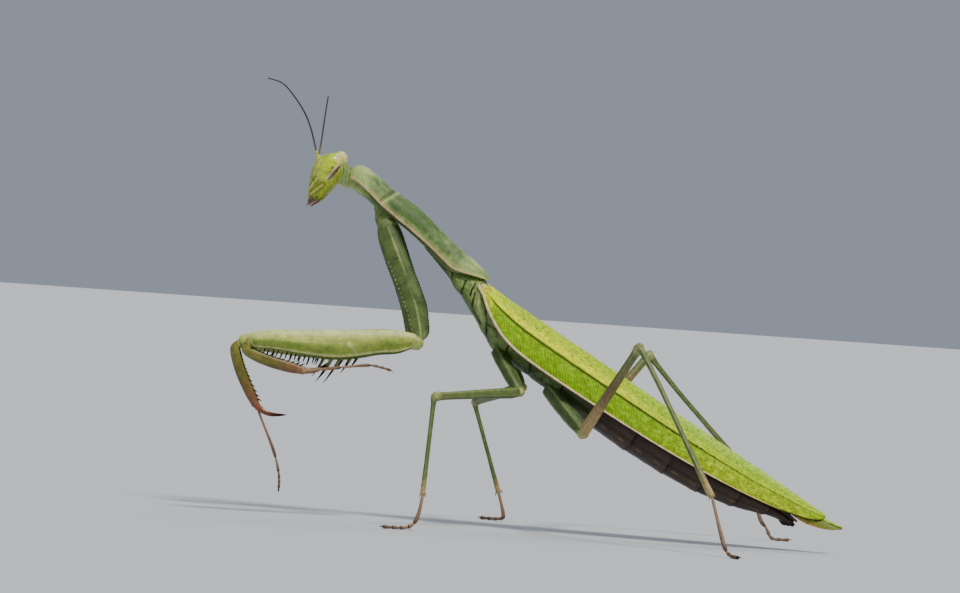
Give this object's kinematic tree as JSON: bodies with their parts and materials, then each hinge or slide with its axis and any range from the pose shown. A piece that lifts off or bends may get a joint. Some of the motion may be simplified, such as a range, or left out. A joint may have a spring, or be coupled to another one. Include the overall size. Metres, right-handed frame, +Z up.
{
  "type": "praying mantis model",
  "caption": "Life-size green praying mantis standing with its raptorial fore legs raised and its wings folded along the back, as a still museum-type model.",
  "frame": {"origin": "centre of the bounding box in X and Y, on the floor that the feet stand on", "axes": "+X towards the wing tips, -X towards the head, -Y the animal's left side, +Z up"},
  "size_m": [0.0718, 0.051, 0.0495],
  "materials": {
    "head_cuticle": "satin yellow-green cuticle",
    "eye": "glossy yellow-green facetted eye",
    "mouth": "satin pinkish brown cuticle",
    "feeler": "matt grey-brown",
    "pronotum_cuticle": "satin grey-green cuticle",
    "thorax_cuticle": "satin olive cuticle",
    "abdomen_cuticle": "satin dark brown cuticle",
    "tegmen_membrane": "leathery yellow-green wing cover with raised veins",
    "hindwing_membrane": "thin yellow-green membrane",
    "leg_cuticle": "satin green cuticle",
    "tarsus_cuticle": "satin tan cuticle"
  },
  "bodies": {
    "root": {"abdomen": "abdomen_cuticle", "antenna_left": "feeler", "antenna_right": "feeler", "cercus_left": "abdomen_cuticle", "cercus_right": "abdomen_cuticle", "eye_left": "eye", "eye_right": "eye", "fore_coxa_left": "leg_cuticle", "fore_coxa_right": "leg_cuticle", "fore_femur_left": "leg_cuticle", "fore_femur_right": "leg_cuticle", "fore_tarsus_left": "tarsus_cuticle", "fore_tarsus_right": "tarsus_cuticle", "fore_tibia_left": "leg_cuticle", "fore_tibia_right": "leg_cuticle", "head": "head_cuticle", "hind_coxa_left": "leg_cuticle", "hind_coxa_right": "leg_cuticle", "hind_femur_left": "leg_cuticle", "hind_femur_right": "leg_cuticle", "hind_tarsus_left": "tarsus_cuticle", "hind_tarsus_right": "tarsus_cuticle", "hind_tibia_left": "leg_cuticle", "hind_tibia_right": "leg_cuticle", "hindwing_left": "hindwing_membrane", "hindwing_right": "hindwing_membrane", "mid_coxa_left": "leg_cuticle", "mid_coxa_right": "leg_cuticle", "mid_femur_left": "leg_cuticle", "mid_femur_right": "leg_cuticle", "mid_tarsus_left": "tarsus_cuticle", "mid_tarsus_right": "tarsus_cuticle", "mid_tibia_left": "leg_cuticle", "mid_tibia_right": "leg_cuticle", "mouthparts": "mouth", "neck": "pronotum_cuticle", "palp_left": "mouth", "palp_right": "mouth", "pronotum": "pronotum_cuticle", "pterothorax": "thorax_cuticle", "tegmen_left": "tegmen_membrane", "tegmen_right": "tegmen_membrane"}
  },
  "joints": []
}
